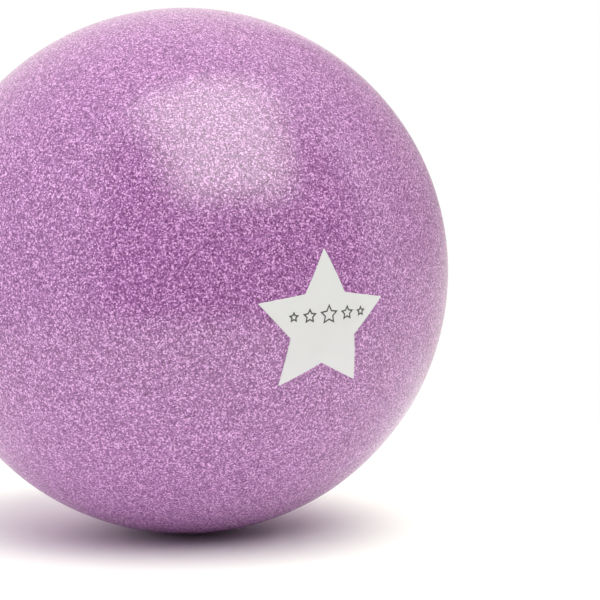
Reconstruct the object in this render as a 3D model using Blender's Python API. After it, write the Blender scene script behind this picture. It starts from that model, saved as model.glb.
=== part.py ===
"""Inflatable glitter ball with a push-in plug valve and a star-shaped label.

The ball's centre is the origin and +Z is up. The valve lies on the +Y axis, at the back, and the
label on the front. Lengths are in metres. Solids that touch on the real ball keep a small gap.
"""

import math

import bmesh
import bpy
from mathutils import Matrix, Vector

MM = 0.001
GAP = 0.3 * MM

# Skin
BALL_RADIUS = 75.0 * MM
COAT_THICKNESS = 1.0 * MM
WALL_THICKNESS = 1.8 * MM
SKIN_SEGMENTS = 48

# Moulded boss that holds the valve
BOSS_ROOT_RADIUS = 9.5 * MM
BOSS_END_RADIUS = 8.2 * MM
BOSS_DEPTH = 10.5 * MM

# Valve sleeve, measured inwards from its flat face
FLANGE_RADIUS = 6.9 * MM
FLANGE_THICKNESS = 2.4 * MM
FLANGE_CHAMFER = 0.3 * MM
SHANK_RADIUS = 4.5 * MM
LIP_RADIUS = 5.6 * MM
LIP_LENGTH = 1.3 * MM
BORE_RADIUS = 2.1 * MM
RECESS_RADIUS = 4.0 * MM
RECESS_DEPTH = 1.7 * MM
NOTCH_WIDTH = 2.2 * MM
NOTCH_REACH = 5.6 * MM
NOTCH_DEPTH = 2.05 * MM
VALVE_SEGMENTS = 40

# Plug
HEAD_RADIUS = 3.7 * MM
HEAD_THICKNESS = 1.3 * MM
HEAD_SINK = 0.1 * MM
HEAD_CHAMFER = 0.25 * MM
SHAFT_RADIUS = 1.6 * MM
SHAFT_LENGTH = 10.2 * MM
BARB_RADIUS = 2.02 * MM
BARB_LENGTH = 1.5 * MM
BARB_COUNT = 3
BARB_PITCH = 2.6 * MM
TIP_RADIUS = 0.9 * MM

# Star label
STAR_WIDTH = 36.1 * MM
STAR_POINTS = 5
STAR_INNER_RATIO = 0.504
STAR_THICKNESS = 0.2 * MM
STAR_LIFT = 0.2 * MM
STAR_AZIMUTH = math.radians(26.9)
STAR_ELEVATION = math.radians(-10.0)
STAR_ROLL = math.radians(2.5)
STAR_DIVISIONS = 5

FACE = Vector((0.0, BALL_RADIUS, 0.0))


def clear_scene():
    for thing in list(bpy.data.objects):
        bpy.data.objects.remove(thing, do_unlink=True)


def material(name, color, roughness, metallic=0.0, alpha=1.0):
    finish = bpy.data.materials.new(name)
    finish.use_nodes = True
    shader = finish.node_tree.nodes["Principled BSDF"]
    shader.inputs["Base Color"].default_value = (*color, 1.0)
    shader.inputs["Roughness"].default_value = roughness
    shader.inputs["Metallic"].default_value = metallic
    shader.inputs["Alpha"].default_value = alpha
    finish.diffuse_color = (*color, alpha)
    return finish


def add_object(name, bm, finish, location=(0.0, 0.0, 0.0)):
    """Turn a finished bmesh into a smooth-shaded object with its faces pointing out."""
    bmesh.ops.recalc_face_normals(bm, faces=bm.faces)
    if bm.calc_volume(signed=True) < 0.0:
        bmesh.ops.reverse_faces(bm, faces=bm.faces)
    mesh = bpy.data.meshes.new(name)
    bm.to_mesh(mesh)
    bm.free()
    mesh.shade_smooth()
    mesh.set_sharp_from_angle(angle=math.radians(32.0))
    mesh.materials.append(finish)
    thing = bpy.data.objects.new(name, mesh)
    thing.location = location
    bpy.context.scene.collection.objects.link(thing)
    return thing


def turned(profile, segments, closed):
    """Spin a profile of (radius, height) points about the local Y axis."""
    bm = bmesh.new()
    verts = [bm.verts.new((radius, height, 0.0)) for radius, height in profile]
    pairs = list(zip(verts, verts[1:]))
    if closed:
        pairs.append((verts[-1], verts[0]))
    edges = [bm.edges.new(pair) for pair in pairs]
    bmesh.ops.spin(bm, geom=verts + edges, cent=(0, 0, 0), axis=(0, 1, 0),
                   angle=math.tau, steps=segments, use_merge=True)
    bmesh.ops.remove_doubles(bm, verts=bm.verts, dist=0.001 * MM)
    return bm


def sphere_arc(radius, mouth_radius):
    """Points of a half circle from the -Y pole round to a mouth at +Y."""
    step = math.tau / SKIN_SEGMENTS
    mouth_angle = math.asin(mouth_radius / radius)
    angles = [math.pi - i * step for i in range(SKIN_SEGMENTS // 2)]
    angles = [angle for angle in angles if angle > mouth_angle + 0.6 * step]
    angles.append(mouth_angle)
    return [(radius * math.sin(a) if a < math.pi else 0.0, radius * math.cos(a)) for a in angles]


def make_glitter_coat():
    """Clear outer skin: a sphere with an even wall, open where the valve's flange sits."""
    mouth = FLANGE_RADIUS + GAP
    outside = sphere_arc(BALL_RADIUS, mouth)
    inside = sphere_arc(BALL_RADIUS - COAT_THICKNESS, mouth)
    bm = turned(outside + inside[::-1], SKIN_SEGMENTS, closed=False)
    return add_object("glitter_coat", bm, material("glitter_purple", (0.36, 0.16, 0.36), 0.25, 0.5))


def make_ball_wall():
    """Pigmented wall under the coat, with the boss that reaches in round the valve."""
    outer = BALL_RADIUS - COAT_THICKNESS - GAP
    inner = outer - WALL_THICKNESS
    pocket_floor = BALL_RADIUS - FLANGE_THICKNESS - GAP
    bore = SHANK_RADIUS + GAP
    boss_end = BALL_RADIUS - BOSS_DEPTH
    profile = sphere_arc(outer, FLANGE_RADIUS + GAP)
    profile.append((FLANGE_RADIUS + GAP, pocket_floor))
    profile.append((bore, pocket_floor))
    profile.append((bore, boss_end))
    profile.append((BOSS_END_RADIUS, boss_end))
    profile += sphere_arc(inner, BOSS_ROOT_RADIUS)[::-1]
    bm = turned(profile, SKIN_SEGMENTS, closed=False)
    return add_object("ball_wall", bm, material("wall_purple", (0.22, 0.06, 0.22), 0.5))


def notch_cutter():
    """Hidden block that cuts the fingernail notch from the plug's recess to the flange's rim."""
    bm = bmesh.new()
    bmesh.ops.create_cube(bm, size=1.0)
    start = 0.75 * RECESS_RADIUS
    bmesh.ops.scale(bm, vec=(NOTCH_WIDTH, 2.0 * NOTCH_DEPTH, NOTCH_REACH - start), verts=bm.verts)
    bmesh.ops.translate(bm, vec=(0.0, 0.0, -0.5 * (NOTCH_REACH + start)), verts=bm.verts)
    cutter = add_object("notch_cutter", bm, material("guide", (0.5, 0.5, 0.5), 0.5), FACE)
    cutter.hide_render = True
    cutter.display_type = "WIRE"
    return cutter


def make_valve_seat():
    """Soft sleeve: flat flange, shank through the boss, and a lip behind it."""
    shank_end = -(BOSS_DEPTH + GAP)
    lip_end = shank_end - LIP_LENGTH
    profile = [
        (RECESS_RADIUS, 0.0),
        (FLANGE_RADIUS - FLANGE_CHAMFER, 0.0),
        (FLANGE_RADIUS, -FLANGE_CHAMFER),
        (FLANGE_RADIUS, -FLANGE_THICKNESS),
        (SHANK_RADIUS, -FLANGE_THICKNESS),
        (SHANK_RADIUS, shank_end),
        (LIP_RADIUS, shank_end),
        (SHANK_RADIUS, lip_end),
        (BORE_RADIUS, lip_end),
        (BORE_RADIUS, -RECESS_DEPTH),
        (RECESS_RADIUS, -RECESS_DEPTH),
    ]
    bm = turned(profile, VALVE_SEGMENTS, closed=True)
    seat = add_object("valve_seat", bm, material("valve_rubber", (0.72, 0.70, 0.71), 0.55), FACE)
    cut = seat.modifiers.new("nail_notch", "BOOLEAN")
    cut.operation = "DIFFERENCE"
    cut.solver = "EXACT"
    cut.object = notch_cutter()
    return seat


def make_valve_plug():
    """Stopper: chamfered head, thin shaft with barbs that ramp towards the tip, rounded end."""
    head_top = -HEAD_SINK
    head_bottom = head_top - HEAD_THICKNESS
    tip = head_bottom - SHAFT_LENGTH
    profile = [
        (0.0, head_top),
        (HEAD_RADIUS - HEAD_CHAMFER, head_top),
        (HEAD_RADIUS, head_top - HEAD_CHAMFER),
        (HEAD_RADIUS, head_bottom),
        (SHAFT_RADIUS, head_bottom),
    ]
    for index in range(BARB_COUNT):
        shoulder = head_bottom - 1.9 * MM - index * BARB_PITCH
        profile.append((SHAFT_RADIUS, shoulder))
        profile.append((BARB_RADIUS, shoulder))
        profile.append((SHAFT_RADIUS, shoulder - BARB_LENGTH))
    profile.append((SHAFT_RADIUS, tip + TIP_RADIUS))
    for step in range(1, 4):
        turn = step * math.pi / 8.0
        rim = SHAFT_RADIUS - TIP_RADIUS * (1.0 - math.cos(turn))
        profile.append((rim, tip + TIP_RADIUS * (1.0 - math.sin(turn))))
    profile.append((SHAFT_RADIUS - TIP_RADIUS, tip))
    profile.append((0.0, tip))
    bm = turned(profile, VALVE_SEGMENTS, closed=False)
    return add_object("valve_plug", bm, material("plug_plastic", (0.78, 0.76, 0.77), 0.4), FACE)


def star_corners(sphere_radius):
    """The ten corners on the plane that touches the sphere, seen from outside, first tip up."""
    tip_arc = 0.5 * STAR_WIDTH / math.sin(math.tau / STAR_POINTS)
    tip = math.tan(tip_arc / sphere_radius)
    corners = []
    for index in range(2 * STAR_POINTS):
        reach = tip if index % 2 == 0 else tip * STAR_INNER_RATIO
        turn = index * math.pi / STAR_POINTS
        corners.append(Vector((reach * math.sin(turn), reach * math.cos(turn), 0.0)))
    return corners


def onto_sphere(flat, radius):
    """A point of the touching plane carried to the sphere, whose centre is at z = -BALL_RADIUS."""
    point = Vector((flat.x, flat.y, 1.0)).normalized() * radius
    return point - Vector((0.0, 0.0, BALL_RADIUS))


def star_sheet(radius):
    """The star as small triangles that follow the sphere: ten sectors, each divided evenly."""
    bm = bmesh.new()
    corners = star_corners(radius)
    count = STAR_DIVISIONS
    for index, corner in enumerate(corners):
        following = corners[(index + 1) % len(corners)]
        grid = {}
        for i in range(count + 1):
            for j in range(count + 1 - i):
                flat = corner * (i / count) + following * (j / count)
                grid[i, j] = bm.verts.new(onto_sphere(flat, radius))
        for i in range(count):
            for j in range(count - i):
                bm.faces.new((grid[i, j], grid[i + 1, j], grid[i, j + 1]))
                if i + j < count - 1:
                    bm.faces.new((grid[i + 1, j], grid[i + 1, j + 1], grid[i, j + 1]))
    bmesh.ops.remove_doubles(bm, verts=bm.verts, dist=0.001 * MM)
    return bm


def make_star_label():
    """Vinyl star that hugs the ball: the curved sheet thickened straight outwards."""
    under_radius = BALL_RADIUS + STAR_LIFT
    bm = star_sheet(under_radius)
    raised = bmesh.ops.extrude_face_region(bm, geom=list(bm.faces))
    centre = Vector((0.0, 0.0, -BALL_RADIUS))
    growth = (under_radius + STAR_THICKNESS) / under_radius
    for vert in raised["geom"]:
        if isinstance(vert, bmesh.types.BMVert):
            vert.co = centre + (vert.co - centre) * growth
    label = add_object("star_label", bm, material("label_vinyl", (0.76, 0.74, 0.74), 0.6))
    outward = Vector((math.sin(STAR_AZIMUTH) * math.cos(STAR_ELEVATION),
                      -math.cos(STAR_AZIMUTH) * math.cos(STAR_ELEVATION),
                      math.sin(STAR_ELEVATION)))
    right = Vector((0.0, 0.0, 1.0)).cross(outward).normalized()
    upward = outward.cross(right)
    facing = Matrix((right, upward, outward)).transposed()
    label.rotation_euler = (facing @ Matrix.Rotation(STAR_ROLL, 3, "Z")).to_euler()
    label.location = outward * BALL_RADIUS
    return label


def main():
    clear_scene()
    make_glitter_coat()
    make_ball_wall()
    make_valve_seat()
    make_valve_plug()
    make_star_label()


main()
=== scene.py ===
"""Glitter ball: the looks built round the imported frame. Metres, +Z up, valve on +Y, label at the front."""
import math

import bmesh
import bpy
from mathutils import Matrix, Vector, noise


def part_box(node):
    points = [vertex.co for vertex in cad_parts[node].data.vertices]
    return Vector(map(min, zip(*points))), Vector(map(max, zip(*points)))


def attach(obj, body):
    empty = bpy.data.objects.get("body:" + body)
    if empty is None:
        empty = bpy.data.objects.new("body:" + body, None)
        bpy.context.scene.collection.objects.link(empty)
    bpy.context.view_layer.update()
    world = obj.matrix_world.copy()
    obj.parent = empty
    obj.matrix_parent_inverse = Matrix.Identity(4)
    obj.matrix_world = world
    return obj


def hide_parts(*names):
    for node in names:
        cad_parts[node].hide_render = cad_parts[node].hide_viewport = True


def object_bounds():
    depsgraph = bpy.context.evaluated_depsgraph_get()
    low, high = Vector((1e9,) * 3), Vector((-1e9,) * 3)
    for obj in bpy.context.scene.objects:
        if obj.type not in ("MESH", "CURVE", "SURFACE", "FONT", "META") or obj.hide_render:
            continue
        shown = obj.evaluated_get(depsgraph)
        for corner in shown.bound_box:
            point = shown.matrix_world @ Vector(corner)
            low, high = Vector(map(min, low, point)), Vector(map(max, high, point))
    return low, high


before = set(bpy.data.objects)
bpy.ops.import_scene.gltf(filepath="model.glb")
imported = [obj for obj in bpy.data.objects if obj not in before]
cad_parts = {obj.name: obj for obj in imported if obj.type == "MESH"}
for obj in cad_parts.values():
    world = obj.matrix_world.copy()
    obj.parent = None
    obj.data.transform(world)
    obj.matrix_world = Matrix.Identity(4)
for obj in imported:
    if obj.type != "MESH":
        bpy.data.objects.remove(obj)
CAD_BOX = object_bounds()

MM = 0.001

# Sizes read from the frame. Heights on the valve are measured out from its flat face.
BALL_RADIUS = 0.5 * (CAD_BOX[1].z - CAD_BOX[0].z)
SEAT_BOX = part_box("valve_seat")
PLUG_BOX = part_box("valve_plug")
FACE_Y = SEAT_BOX[1].y
FLANGE_RADIUS = SEAT_BOX[1].x
SEAT_LENGTH = FACE_Y - SEAT_BOX[0].y
HEAD_RADIUS = PLUG_BOX[1].x
HEAD_TOP = PLUG_BOX[1].y - FACE_Y
PLUG_TIP = PLUG_BOX[0].y - FACE_Y

# Skin
SKIN_THICKNESS = 1.0 * MM
SKIN_SEGMENTS = 256
SKIN_RINGS = 128
INNER_RINGS = 32
BEAD_RINGS = 22
LINE_RINGS = 8
MOUTH_RADIUS = FLANGE_RADIUS + 0.3 * MM
MOUTH_ROUND = 0.35 * MM
PARTING_HEIGHT = 0.05 * MM
PARTING_WIDTH = 0.35 * MM
VALVE_BEAD_RADIUS = 9.6 * MM
VALVE_BEAD_HEIGHT = 0.22 * MM
VALVE_BEAD_WIDTH = 0.7 * MM
WAVE_HEIGHT = 0.03 * MM
WAVE_PITCH = 22.0 * MM

# Valve sleeve
FLANGE_DEPTH = 2.4 * MM
SHANK_RADIUS = 4.5 * MM
SHANK_END = -10.8 * MM
LIP_RADIUS = 5.6 * MM
BORE_RADIUS = 2.1 * MM
RECESS_RADIUS = 4.0 * MM
RECESS_DEPTH = 1.7 * MM
SLEEVE_ROUND = 0.3 * MM
NOTCH_RADIUS = 1.1 * MM
NOTCH_OUTER_RADIUS = 1.3 * MM
NOTCH_LENGTH = 4.1 * MM
NOTCH_STRETCH = 1.3 * MM
NOTCH_PLACE = -4.6 * MM

# Valve stopper
HEAD_HEIGHT = 1.3 * MM
SHAFT_RADIUS = 1.6 * MM
BARB_RADIUS = 2.02 * MM
BARB_COUNT = 3
FIRST_BARB = 1.9 * MM
BARB_PITCH = 2.6 * MM
BARB_LENGTH = 1.5 * MM
STOPPER_ROUND = 0.12 * MM
GATE_MARK_DEPTH = 0.12 * MM
HEAD_RING_DEPTH = 0.16 * MM
VALVE_SEGMENTS = 96

# Moulded colours
RUBBER_COLOR = (0.66, 0.63, 0.65)
STOPPER_COLOR = (0.74, 0.71, 0.73)
WALL_COLOR = (0.24, 0.07, 0.24)

# Glitter: each flake's colour runs from dark through mid to light. The spread is partly the flakes' own tone
# and partly painted glint and painted shade of tilted flakes.
FLAKE_SIZE = 0.31 * MM
FLAKE_TILT = 0.49
FLAKE_DARK_AND_SHADE = (0.18, 0.052, 0.179)
FLAKE_MID = (0.437, 0.173, 0.46)
FLAKE_LIGHT_AND_GLINT = (0.895, 0.487, 0.895)
FLAKE_MID_SHARE = 0.65
FLAKE_METAL = 0.04
FLAKE_ROUGH = 0.44
COAT_WEIGHT = 0.72
COAT_IOR = 1.70
COAT_ROUGH = 0.164

# Label
LABEL_THICKNESS = 0.16 * MM
LABEL_SINK = 0.05 * MM
LABEL_EDGE_ROUND = 0.05 * MM
LABEL_TIP_ROUND = 0.25 * MM
LABEL_RINGS = 26
LABEL_EDGE_STEPS = 16
LABEL_INNER_RATIO = 0.504
LABEL_COLOR = (0.712, 0.678, 0.73)
INK_STROKE = 0.42 * MM
INK_HEIGHT = 0.02 * MM
INK_SINK = 0.01 * MM
INK_STAR_RATIO = 0.5
INK_CORNER_ROUND = 0.05 * MM
INK_DARK = (0.035, 0.033, 0.035)
INK_LIGHT = (0.10, 0.095, 0.10)
PRINT_RADII = [1.5 * MM, 2.05 * MM, 2.7 * MM, 2.05 * MM, 1.5 * MM]
PRINT_PLACES = [-9.8 * MM, -5.45 * MM, 0.0, 5.45 * MM, 9.8 * MM]
PRINT_SHIFT = (1.1 * MM, 2.5 * MM)
PRINT_LEAN = math.radians(1.3)

# Camera
CAMERA_DISTANCE = 5.5 * BALL_RADIUS
CAMERA_LENS = 85.1
CAMERA_PAN = math.radians(4.51)
CAMERA_TILT = math.radians(1.14)

# Room. Angles are in degrees from the ball: azimuth 0 at the camera and 90 on its right.
ROOM_LEVEL = 1.165
ROOM_FRONT_COLOR = (1.01, 0.985, 1.035)
ROOM_BACK_COLOR = (1.0, 0.99, 0.88)

# Darker stretches of the room: azimuths, elevations, level. Each range is its low end, its high
# end and the half-widths of its soft edges.
ZONES = [
    ((-37, 80, 14, 14), (-39, 77, 6, 6), 0.02),
    ((102, 166, 12, 8), (2.4, 50, 6, 12), 0.56),
]

# Light panel, painted on the world. Its place is in degrees, and its half-sizes and soft edge are
# tangents of the angles they take up, seen from the ball.
PANEL_COLOR = (0.935, 1.01, 0.865)
PANEL_AZIMUTH = 22.4
PANEL_ELEVATION = 57.0
PANEL_HALF_WIDTH = 0.44
PANEL_HALF_HEIGHT = 0.497
PANEL_SOFT_EDGE = 0.223
PANEL_RADIANCE = 4.89

# Floor
FLOOR_COLOR = (0.95, 0.95, 0.95)
FLOOR_FADE_START = 0.19
FLOOR_FADE_END = 0.35


# ---------------------------------------------------------------- meshes

def new_object(name, bm, finish):
    """A smooth-shaded object from a closed bmesh, with its faces pointing out."""
    bmesh.ops.recalc_face_normals(bm, faces=bm.faces)
    if bm.calc_volume(signed=True) < 0.0:
        bmesh.ops.reverse_faces(bm, faces=bm.faces)
    mesh = bpy.data.meshes.new(name)
    bm.to_mesh(mesh)
    bm.free()
    mesh.shade_smooth()
    mesh.set_sharp_from_angle(angle=math.radians(40.0))
    mesh.materials.append(finish)
    thing = bpy.data.objects.new(name, mesh)
    bpy.context.scene.collection.objects.link(thing)
    return thing


def turned(profile, segments, closed, height=0.0):
    """Spin a profile of (radius, y) points about the Y axis. height is added to every y."""
    bm = bmesh.new()
    verts = [bm.verts.new((radius, y + height, 0.0)) for radius, y in profile]
    pairs = list(zip(verts, verts[1:]))
    if closed:
        pairs.append((verts[-1], verts[0]))
    edges = [bm.edges.new(pair) for pair in pairs]
    bmesh.ops.spin(bm, geom=verts + edges, cent=(0, 0, 0), axis=(0, 1, 0),
                   angle=math.tau, steps=segments, use_merge=True)
    bmesh.ops.remove_doubles(bm, verts=bm.verts, dist=0.0005 * MM)
    return bm


def rounded(points, radius, steps=4, closed=False):
    """The same outline with each inner corner replaced by a short arc."""
    count = len(points)
    result = []
    for i, corner in enumerate(points):
        if not closed and i in (0, count - 1):
            result.append(corner)
            continue
        here = Vector(corner)
        before = Vector(points[i - 1]) - here
        after = Vector(points[(i + 1) % count]) - here
        turn = before.angle(after)
        if turn > math.radians(176.0):
            result.append(corner)
            continue
        reach = min(radius / math.tan(turn / 2.0), 0.45 * before.length, 0.45 * after.length)
        start = here + before.normalized() * reach
        end = here + after.normalized() * reach
        for step in range(steps + 1):
            t = step / steps
            point = start * (1 - t) ** 2 + here * 2 * t * (1 - t) + end * t ** 2
            result.append((point.x, point.y))
    return result


def bump(distance, width):
    """1 at distance 0, falling smoothly to nothing a few widths away."""
    return math.exp(-(distance / width) ** 2)


def skin_height(direction):
    """How far the moulded skin stands out from the perfect ball in this direction."""
    point = direction * BALL_RADIUS
    wave = noise.noise(point / WAVE_PITCH) + 0.5 * noise.noise(point * 2.3 / WAVE_PITCH)
    height = WAVE_HEIGHT * (wave - 0.9)
    height += PARTING_HEIGHT * bump(point.y, PARTING_WIDTH)
    if point.y > 0.0:
        from_axis = math.hypot(point.x, point.z)
        height += VALVE_BEAD_HEIGHT * bump(from_axis - VALVE_BEAD_RADIUS, VALVE_BEAD_WIDTH)
    return height


def polar_angles(mouth_angle):
    """Angles from +Y for the skin's rings: even, closer round the mouth's bead and the parting line."""
    even = [math.pi * i / SKIN_RINGS for i in range(1, SKIN_RINGS + 1)]
    bead_end = (VALVE_BEAD_RADIUS + 3.0 * VALVE_BEAD_WIDTH) / BALL_RADIUS
    line_half = 3.0 * PARTING_WIDTH / BALL_RADIUS
    angles = [a for a in even if a > bead_end and abs(a - math.pi / 2) > line_half]
    bead_step = (bead_end - mouth_angle) / BEAD_RINGS
    angles += [mouth_angle + bead_step * i for i in range(BEAD_RINGS + 1)]
    line_step = line_half / LINE_RINGS
    angles += [math.pi / 2 + line_step * i for i in range(-LINE_RINGS, LINE_RINGS + 1)]
    return sorted(angles, reverse=True)


def make_skin(finish):
    """The moulded skin: fine outer face, mouth with a rounded edge, and the face inside."""
    mouth_angle = math.asin((MOUTH_RADIUS + MOUTH_ROUND) / BALL_RADIUS)
    outside = []
    for angle in polar_angles(mouth_angle):
        sine = 0.0 if angle == math.pi else math.sin(angle)
        outside.append((BALL_RADIUS * sine, BALL_RADIUS * math.cos(angle)))
    rim_y = outside[-1][1]
    for step in range(1, 7):
        turn = step * math.pi / 12
        outside.append((MOUTH_RADIUS + MOUTH_ROUND * (1 - math.sin(turn)),
                        rim_y - MOUTH_ROUND * (1 - math.cos(turn))))
    inner_radius = BALL_RADIUS - SKIN_THICKNESS
    inner_mouth = math.asin(MOUTH_RADIUS / inner_radius)
    inside = []
    for i in range(INNER_RINGS + 1):
        angle = inner_mouth + (math.pi - inner_mouth) * i / INNER_RINGS
        sine = 0.0 if i == INNER_RINGS else math.sin(angle)
        inside.append((inner_radius * sine, inner_radius * math.cos(angle)))
    bm = turned(outside + inside, SKIN_SEGMENTS, closed=False)
    for vert in bm.verts:
        if vert.co.length > BALL_RADIUS - 0.5 * SKIN_THICKNESS:
            direction = vert.co.normalized()
            vert.co += direction * skin_height(direction)
    return new_object("glitter_skin", bm, finish)


def label_frame():
    """The label's own axes from the CAD label: right, up along its first tip, and outwards."""
    points = [v.co.copy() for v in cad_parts["star_label"].data.vertices]
    outward = sum(points, Vector()).normalized()
    reach = max(p.normalized().angle(outward) for p in points)
    tips = [p for p in points if p.normalized().angle(outward) > 0.995 * reach]
    top = max(tips, key=lambda p: p.z)
    upward = (top - outward * top.dot(outward)).normalized()
    return Matrix((upward.cross(outward), upward, outward)).transposed(), reach


def star_outline(tip, ratio, tip_round):
    """A five-pointed star as an outline with slightly rounded corners, first tip up."""
    corners = []
    for index in range(10):
        reach = tip if index % 2 == 0 else tip * ratio
        turn = index * math.pi / 5
        corners.append((reach * math.sin(turn), reach * math.cos(turn)))
    return rounded(corners, tip_round, steps=4, closed=True)


def densified(outline, steps):
    """The closed outline with each long side divided evenly."""
    longest = max((Vector(a) - Vector(b)).length for a, b in zip(outline, outline[1:]))
    result = []
    for i, start in enumerate(outline):
        a, b = Vector(start), Vector(outline[(i + 1) % len(outline)])
        parts = max(1, round(steps * (b - a).length / longest))
        result += [tuple(a.lerp(b, k / parts)) for k in range(parts)]
    return result


def on_ball(axes, x, y, radius):
    """A point of the plane that touches the ball under the label, carried to this radius."""
    return axes @ Vector((x / BALL_RADIUS, y / BALL_RADIUS, 1.0)).normalized() * radius


def make_label(axes, reach, finish):
    """Vinyl star that follows the ball, with a fine rounded edge, closed underneath."""
    tip = math.tan(reach) * BALL_RADIUS
    outline = densified(star_outline(tip, LABEL_INNER_RATIO, LABEL_TIP_ROUND), LABEL_EDGE_STEPS)
    top = BALL_RADIUS + LABEL_THICKNESS
    under = BALL_RADIUS - LABEL_SINK
    rings = [(k / LABEL_RINGS, top) for k in range(1, LABEL_RINGS)]
    inset = LABEL_EDGE_ROUND / tip
    rings.append((1.0 - 2.0 * inset, top))
    rings.append((1.0 - 0.6 * inset, top - 0.3 * LABEL_EDGE_ROUND))
    rings.append((1.0, top - LABEL_EDGE_ROUND))
    rings.append((1.0, under))
    rings += [(k / 8, under) for k in range(7, 0, -1)]
    bm = bmesh.new()
    first = bm.verts.new(on_ball(axes, 0, 0, top))
    last = bm.verts.new(on_ball(axes, 0, 0, under))
    loops = [[bm.verts.new(on_ball(axes, share * x, share * y, radius)) for x, y in outline]
             for share, radius in rings]
    count = len(outline)
    for i in range(count):
        j = (i + 1) % count
        bm.faces.new((first, loops[0][j], loops[0][i]))
        bm.faces.new((last, loops[-1][i], loops[-1][j]))
        for inner, outer in zip(loops, loops[1:]):
            bm.faces.new((inner[i], inner[j], outer[j], outer[i]))
    return new_object("star_sticker", bm, finish)


def make_ink(axes, finish):
    """The printed mark: a row of five small outlined stars, largest in the middle."""
    low = BALL_RADIUS + LABEL_THICKNESS - INK_SINK
    high = BALL_RADIUS + LABEL_THICKNESS + INK_HEIGHT
    lean = Matrix.Rotation(PRINT_LEAN, 2)
    bm = bmesh.new()
    for size, along in zip(PRINT_RADII, PRINT_PLACES):
        middle = Vector((along, 0.0)) + Vector(PRINT_SHIFT)
        outer = star_outline(size, INK_STAR_RATIO, INK_CORNER_ROUND)
        shrink = 1.0 - INK_STROKE / (size * 0.52)
        inner = [(x * shrink, y * shrink) for x, y in outer]
        walls = []
        for loop, radius in ((outer, low), (outer, high), (inner, high), (inner, low)):
            ring = []
            for x, y in loop:
                spot = lean @ (middle + Vector((x, y)))
                ring.append(bm.verts.new(on_ball(axes, spot.x, spot.y, radius)))
            walls.append(ring)
        count = len(outer)
        for k in range(4):
            a, b = walls[k], walls[(k + 1) % 4]
            for i in range(count):
                j = (i + 1) % count
                bm.faces.new((a[i], a[j], b[j], b[i]))
    return new_object("label_print", bm, finish)


def notch_cutter(finish):
    """The tapered peg that cuts the nail notch, stretched up into the plug's recess."""
    bm = bmesh.new()
    bmesh.ops.create_cone(bm, cap_ends=True, segments=32, radius1=NOTCH_RADIUS,
                          radius2=NOTCH_OUTER_RADIUS, depth=NOTCH_LENGTH)
    bmesh.ops.rotate(bm, matrix=Matrix.Rotation(-math.pi / 2, 3, "X"), verts=bm.verts)
    for vert in bm.verts:
        vert.co.z += NOTCH_STRETCH if vert.co.z > 0 else 0.0
    bmesh.ops.translate(bm, vec=(0, FACE_Y, NOTCH_PLACE), verts=bm.verts)
    return new_object("cutter", bm, finish)


def make_seat(finish):
    """Moulded valve sleeve: flat flange with soft edges, plug recess, barbed shank and nail notch."""
    profile = [
        (RECESS_RADIUS, 0.0),
        (FLANGE_RADIUS, 0.0),
        (FLANGE_RADIUS, -FLANGE_DEPTH),
        (SHANK_RADIUS, -FLANGE_DEPTH),
        (SHANK_RADIUS, SHANK_END),
        (LIP_RADIUS, SHANK_END),
        (SHANK_RADIUS, -SEAT_LENGTH),
        (BORE_RADIUS, -SEAT_LENGTH),
        (BORE_RADIUS, -RECESS_DEPTH),
        (RECESS_RADIUS, -RECESS_DEPTH),
    ]
    outline = rounded(profile, SLEEVE_ROUND, closed=True)
    bm = turned(outline, VALVE_SEGMENTS, closed=True, height=FACE_Y)
    seat = new_object("valve_sleeve", bm, finish)
    cutter = notch_cutter(finish)
    cut = seat.modifiers.new("nail_notch", "BOOLEAN")
    cut.operation = "DIFFERENCE"
    cut.solver = "EXACT"
    cut.object = cutter
    evaluated = seat.evaluated_get(bpy.context.evaluated_depsgraph_get())
    mesh = bpy.data.meshes.new_from_object(evaluated)
    seat.modifiers.clear()
    seat.data = mesh
    bpy.data.objects.remove(cutter)
    return seat


def make_plug(finish):
    """Moulded stopper: head with a fine ring and a gate mark, shaft with three barbs."""
    head_bottom = HEAD_TOP - HEAD_HEIGHT
    gate = HEAD_TOP - GATE_MARK_DEPTH
    groove = HEAD_TOP - HEAD_RING_DEPTH
    profile = [
        (0.0, gate),
        (0.35 * MM, gate),
        (0.6 * MM, HEAD_TOP),
        (2.2 * MM, HEAD_TOP),
        (2.35 * MM, groove),
        (2.65 * MM, groove),
        (2.8 * MM, HEAD_TOP),
        (HEAD_RADIUS - 0.2 * MM, HEAD_TOP),
        (HEAD_RADIUS, HEAD_TOP - 0.25 * MM),
        (HEAD_RADIUS, head_bottom),
        (SHAFT_RADIUS, head_bottom),
    ]
    for index in range(BARB_COUNT):
        shoulder = head_bottom - FIRST_BARB - index * BARB_PITCH
        profile.append((SHAFT_RADIUS, shoulder))
        profile.append((BARB_RADIUS, shoulder))
        profile.append((SHAFT_RADIUS, shoulder - BARB_LENGTH))
    profile += [(SHAFT_RADIUS, PLUG_TIP), (0.0, PLUG_TIP)]
    bm = turned(rounded(profile, STOPPER_ROUND), VALVE_SEGMENTS, closed=False, height=FACE_Y)
    return new_object("valve_stopper", bm, finish)


# ---------------------------------------------------------------- materials

def add(tree, kind, inputs=None, **settings):
    """A node with its settings made and its inputs set to values or linked to sockets."""
    node = tree.nodes.new(kind)
    for name, value in settings.items():
        setattr(node, name, value)
    for key, value in (inputs or {}).items():
        if isinstance(value, bpy.types.NodeSocket):
            tree.links.new(value, node.inputs[key])
        else:
            node.inputs[key].default_value = value
    return node


def shader_tree(name):
    """A new material with only its output, and the object's own coordinates."""
    finish = bpy.data.materials.new(name)
    finish.use_nodes = True
    tree = finish.node_tree
    tree.nodes.clear()
    place = add(tree, "ShaderNodeTexCoord").outputs["Object"]
    return finish, tree, place


def close_tree(tree, inputs):
    """The Principled shader with these inputs, joined to the output."""
    shader = add(tree, "ShaderNodeBsdfPrincipled", inputs)
    add(tree, "ShaderNodeOutputMaterial", {"Surface": shader.outputs["BSDF"]})


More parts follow.
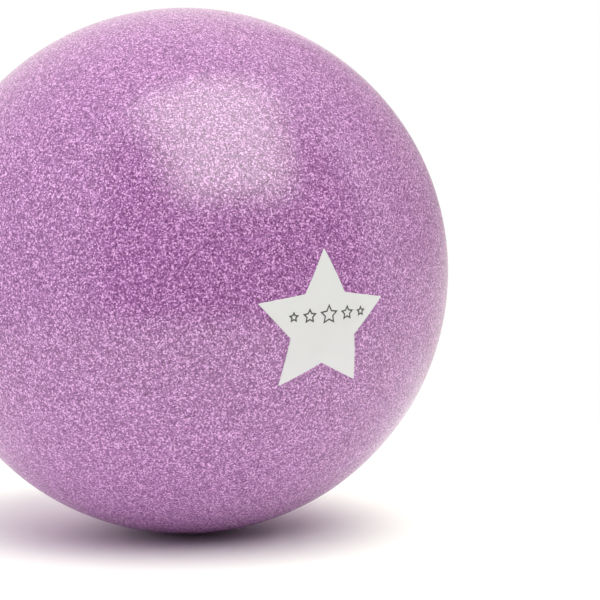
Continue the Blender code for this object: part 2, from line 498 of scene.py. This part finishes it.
def calc(tree, operation, first, second=0.0, third=0.0):
    """A maths node's result."""
    node = add(tree, "ShaderNodeMath", {0: first, 1: second, 2: third}, operation=operation)
    return node.outputs[0]


def vector_calc(tree, operation, first, second=(0, 0, 0)):
    """A vector maths node's result as a vector."""
    node = add(tree, "ShaderNodeVectorMath", {0: first, 1: second}, operation=operation)
    return node.outputs[0]


def ramp(tree, value, stops):
    """A colour ramp from a list of (position, colour)."""
    node = add(tree, "ShaderNodeValToRGB", {"Fac": value})
    stripe = node.color_ramp
    while len(stripe.elements) > 1:
        stripe.elements.remove(stripe.elements[-1])
    stripe.elements[0].position = stops[0][0]
    stripe.elements[0].color = (*stops[0][1], 1.0)
    for position, color in stops[1:]:
        stripe.elements.new(position).color = (*color, 1.0)
    return node.outputs["Color"]


def fine_noise(tree, place, scale, detail=4.0, rough=0.55):
    """Cloudy noise with this many features per metre."""
    node = add(tree, "ShaderNodeTexNoise",
               {"Vector": place, "Scale": scale, "Detail": detail, "Roughness": rough})
    return node.outputs["Fac"]


def between(tree, value, low, high):
    """value from 0 to 1 spread evenly from low to high."""
    node = add(tree, "ShaderNodeMapRange", {"Value": value, "To Min": low, "To Max": high})
    return node.outputs["Result"]


def glitter_material():
    """A mosaic of tilted purple flakes under a smooth clear coat. Each flake's base colour is partly its own
    tone and partly painted glint and painted shade.
    """
    finish, tree, place = shader_tree("glitter_under_clear_vinyl")
    flakes = add(tree, "ShaderNodeTexVoronoi", {"Vector": place, "Scale": 1.0 / FLAKE_SIZE},
                 voronoi_dimensions="3D", feature="F1")
    own = add(tree, "ShaderNodeTexWhiteNoise", {"Vector": flakes.outputs["Position"]},
              noise_dimensions="3D")
    # Per-flake base colour: partly the flakes' own tone, partly painted glint and painted shade of tilted
    # flakes.
    shade = ramp(tree, own.outputs["Value"],
                 [(0.0, FLAKE_DARK_AND_SHADE), (FLAKE_MID_SHARE, FLAKE_MID), (1.0, FLAKE_LIGHT_AND_GLINT)])
    centred = vector_calc(tree, "SUBTRACT", flakes.outputs["Color"], (0.5, 0.5, 0.5))
    tilt = vector_calc(tree, "MULTIPLY", centred, (2.0 * FLAKE_TILT,) * 3)
    outward = add(tree, "ShaderNodeNewGeometry").outputs["Normal"]
    facing = vector_calc(tree, "NORMALIZE", vector_calc(tree, "ADD", outward, tilt))
    own_parts = add(tree, "ShaderNodeSeparateColor", {"Color": own.outputs["Color"]})
    roughness = between(tree, own_parts.outputs["Green"], FLAKE_ROUGH - 0.08, FLAKE_ROUGH + 0.08)
    smudge = fine_noise(tree, place, 45.0)
    coat_roughness = between(tree, smudge, COAT_ROUGH - 0.03, COAT_ROUGH + 0.03)
    close_tree(tree, {
        "Base Color": shade,
        "Metallic": FLAKE_METAL,
        "Roughness": roughness,
        "Normal": facing,
        "Specular IOR Level": 0.0,
        "Coat Weight": COAT_WEIGHT,
        "Coat Roughness": coat_roughness,
        "Coat IOR": COAT_IOR,
    })
    return finish


def soft_plastic(name, color, roughness, grain):
    """Moulded satin plastic or rubber: faint clouding, a fine grain and uneven gloss."""
    finish, tree, place = shader_tree(name)
    cloud = fine_noise(tree, place, 320.0)
    darker = tuple(0.86 * c for c in color)
    shade = ramp(tree, cloud, [(0.3, darker), (0.7, color)])
    speck = fine_noise(tree, place, 9000.0, detail=2.0)
    relief = add(tree, "ShaderNodeBump", {"Height": speck, "Strength": 0.35, "Distance": grain})
    close_tree(tree, {
        "Base Color": shade,
        "Roughness": between(tree, cloud, roughness - 0.08, roughness + 0.1),
        "Normal": relief.outputs["Normal"],
        "Subsurface Weight": 0.08,
        "Subsurface Scale": 0.6 * MM,
    })
    return finish


def label_material():
    """Satin vinyl film: barely uneven white with a very fine calendered grain."""
    finish, tree, place = shader_tree("satin_vinyl_film")
    cloud = fine_noise(tree, place, 110.0)
    lighter = tuple(1.04 * c for c in LABEL_COLOR)
    shade = ramp(tree, cloud, [(0.3, LABEL_COLOR), (0.7, lighter)])
    grain = fine_noise(tree, place, 3800.0, detail=3.0)
    relief = add(tree, "ShaderNodeBump",
                 {"Height": grain, "Strength": 0.25, "Distance": 0.01 * MM})
    close_tree(tree, {
        "Base Color": shade,
        "Roughness": between(tree, grain, 0.5, 0.62),
        "Normal": relief.outputs["Normal"],
        "Specular IOR Level": 0.35,
    })
    return finish


def ink_material():
    """Thin grey print, a little uneven in its cover."""
    finish, tree, place = shader_tree("grey_print")
    cover = fine_noise(tree, place, 5200.0, detail=3.0)
    shade = ramp(tree, cover, [(0.3, INK_DARK), (0.75, INK_LIGHT)])
    close_tree(tree, {"Base Color": shade, "Roughness": between(tree, cover, 0.5, 0.7)})
    return finish


def floor_material():
    """Pale studio floor, faintly uneven, that fades out in a ring far from the ball."""
    finish, tree, place = shader_tree("pale_floor")
    cloud = fine_noise(tree, place, 3.0)
    lighter = tuple(1.03 * c for c in FLOOR_COLOR)
    shade = ramp(tree, cloud, [(0.3, FLOOR_COLOR), (0.7, lighter)])
    solid = add(tree, "ShaderNodeBsdfDiffuse", {"Color": shade})
    distance = add(tree, "ShaderNodeVectorMath", {0: place}, operation="LENGTH").outputs["Value"]
    gone = step_up(tree, distance, FLOOR_FADE_START, FLOOR_FADE_END)
    clear = add(tree, "ShaderNodeBsdfTransparent")
    both = add(tree, "ShaderNodeMixShader", {0: gone, 1: solid.outputs[0], 2: clear.outputs[0]})
    add(tree, "ShaderNodeOutputMaterial", {"Surface": both.outputs[0]})
    return finish


# ---------------------------------------------------------------- studio

def make_floor():
    """A round floor that is solid under the ball and fades into the white round it."""
    bm = bmesh.new()
    bmesh.ops.create_circle(bm, cap_ends=True, segments=96, radius=FLOOR_FADE_END)
    bmesh.ops.translate(bm, vec=(0, 0, CAD_BOX[0].z), verts=bm.verts)
    mesh = bpy.data.meshes.new("floor")
    bm.to_mesh(mesh)
    bm.free()
    mesh.materials.append(floor_material())
    floor = bpy.data.objects.new("floor", mesh)
    bpy.context.scene.collection.objects.link(floor)


def step_up(tree, value, start, end):
    """0 below start, 1 above end, smooth between."""
    node = add(tree, "ShaderNodeMapRange", {"Value": value, "From Min": start, "From Max": end},
               interpolation_type="SMOOTHSTEP")
    return node.outputs["Result"]


def window(tree, value, low, high, soft_low, soft_high):
    """1 between low and high, with soft edges that are half gone at low and at high."""
    rise = step_up(tree, value, low - soft_low, low + soft_low)
    fall = step_up(tree, value, high - soft_high, high + soft_high)
    return calc(tree, "MULTIPLY", rise, calc(tree, "SUBTRACT", 1.0, fall))


def heading(azimuth, elevation):
    """The direction at these angles in degrees, azimuth 0 at the camera and 90 on its right."""
    a, e = math.radians(azimuth), math.radians(elevation)
    return Vector((math.sin(a) * math.cos(e), -math.cos(a) * math.cos(e), math.sin(e)))


def along(tree, way, axis):
    """How far a direction points along a fixed axis."""
    node = add(tree, "ShaderNodeVectorMath", {0: way, 1: axis}, operation="DOT_PRODUCT")
    return node.outputs["Value"]


def panel(tree, way):
    """1 where the soft-edged rectangular light panel is seen from the ball, 0 elsewhere."""
    facing = heading(PANEL_AZIMUTH, PANEL_ELEVATION)
    across = Vector((0, 0, 1)).cross(facing).normalized()
    ahead = along(tree, way, facing)
    depth = calc(tree, "MAXIMUM", ahead, 0.001)
    x = calc(tree, "DIVIDE", along(tree, way, across), depth)
    y = calc(tree, "DIVIDE", along(tree, way, facing.cross(across)), depth)
    soft = PANEL_SOFT_EDGE
    wide = window(tree, x, -PANEL_HALF_WIDTH, PANEL_HALF_WIDTH, soft, soft)
    high = window(tree, y, -PANEL_HALF_HEIGHT, PANEL_HALF_HEIGHT, soft, soft)
    in_front = step_up(tree, ahead, 0.0, 0.1)
    return calc(tree, "MULTIPLY", calc(tree, "MULTIPLY", wide, high), in_front)


def make_world():
    """A white room with a soft light panel and darker stretches. Directly seen, it is plain white."""
    world = bpy.data.worlds.new("studio")
    bpy.context.scene.world = world
    world.use_nodes = True
    tree = world.node_tree
    tree.nodes.clear()
    way = add(tree, "ShaderNodeTexCoord").outputs["Generated"]
    parts = add(tree, "ShaderNodeSeparateXYZ", {"Vector": way})
    toward_camera = calc(tree, "MULTIPLY", parts.outputs["Y"], -1.0)
    azimuth = calc(tree, "ARCTAN2", parts.outputs["X"], toward_camera)
    elevation = calc(tree, "ARCSINE", parts.outputs["Z"])
    level = ROOM_LEVEL
    for azimuths, elevations, zone_level in ZONES:
        sides = window(tree, azimuth, *[math.radians(v) for v in azimuths])
        heights = window(tree, elevation, *[math.radians(v) for v in elevations])
        inside = calc(tree, "MULTIPLY", sides, heights)
        change = calc(tree, "SUBTRACT", zone_level, level)
        level = calc(tree, "MULTIPLY_ADD", inside, change, level)
    behind = calc(tree, "MULTIPLY_ADD", parts.outputs["Y"], 0.5, 0.5)
    tint = ramp(tree, behind, [(0.4, ROOM_FRONT_COLOR), (0.8, ROOM_BACK_COLOR)])
    room = add(tree, "ShaderNodeBackground", {"Color": tint, "Strength": level})
    lit = calc(tree, "MULTIPLY", panel(tree, way), PANEL_RADIANCE)
    lamp = add(tree, "ShaderNodeBackground", {"Color": (*PANEL_COLOR, 1.0), "Strength": lit})
    room = add(tree, "ShaderNodeAddShader", {0: room.outputs[0], 1: lamp.outputs[0]})
    plain = add(tree, "ShaderNodeBackground", {"Color": (1.0, 1.0, 1.0, 1.0), "Strength": 1.0})
    seen = add(tree, "ShaderNodeLightPath").outputs["Is Camera Ray"]
    both = add(tree, "ShaderNodeMixShader", {0: seen, 1: room.outputs[0], 2: plain.outputs[0]})
    add(tree, "ShaderNodeOutputWorld", {"Surface": both.outputs[0]})


def make_camera():
    """The camera, level with the ball's centre and turned a little to its right and down."""
    lens = bpy.data.cameras.new("camera")
    lens.lens = CAMERA_LENS
    lens.sensor_width = 36.0
    lens.clip_start = 0.01
    camera = bpy.data.objects.new("camera", lens)
    camera.location = (0.0, -CAMERA_DISTANCE, 0.0)
    turn = Matrix.Rotation(-CAMERA_PAN, 3, "Z") @ Matrix.Rotation(math.pi / 2 - CAMERA_TILT, 3, "X")
    camera.rotation_euler = turn.to_euler()
    bpy.context.scene.collection.objects.link(camera)
    bpy.context.scene.camera = camera


# ---------------------------------------------------------------- build

def build():
    """Every piece with the body it rides on and the CAD node it stands for, then the studio."""
    skin = make_skin(glitter_material())
    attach(skin, "ball")
    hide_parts("glitter_coat")

    axes, reach = label_frame()
    label = make_label(axes, reach, label_material())
    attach(label, "ball")
    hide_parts("star_label")
    ink = make_ink(axes, ink_material())
    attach(ink, "ball")

    seat = make_seat(soft_plastic("valve_rubber", RUBBER_COLOR, 0.5, 0.02 * MM))
    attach(seat, "ball")
    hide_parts("valve_seat")
    plug = make_plug(soft_plastic("plug_plastic", STOPPER_COLOR, 0.36, 0.01 * MM))
    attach(plug, "plug")
    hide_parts("valve_plug")

    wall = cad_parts["ball_wall"]
    wall.data.materials.clear()
    wall.data.materials.append(soft_plastic("wall_vinyl", WALL_COLOR, 0.5, 0.02 * MM))

    make_floor()
    make_world()
    make_camera()
    bpy.context.scene.view_settings.view_transform = "Standard"


build()
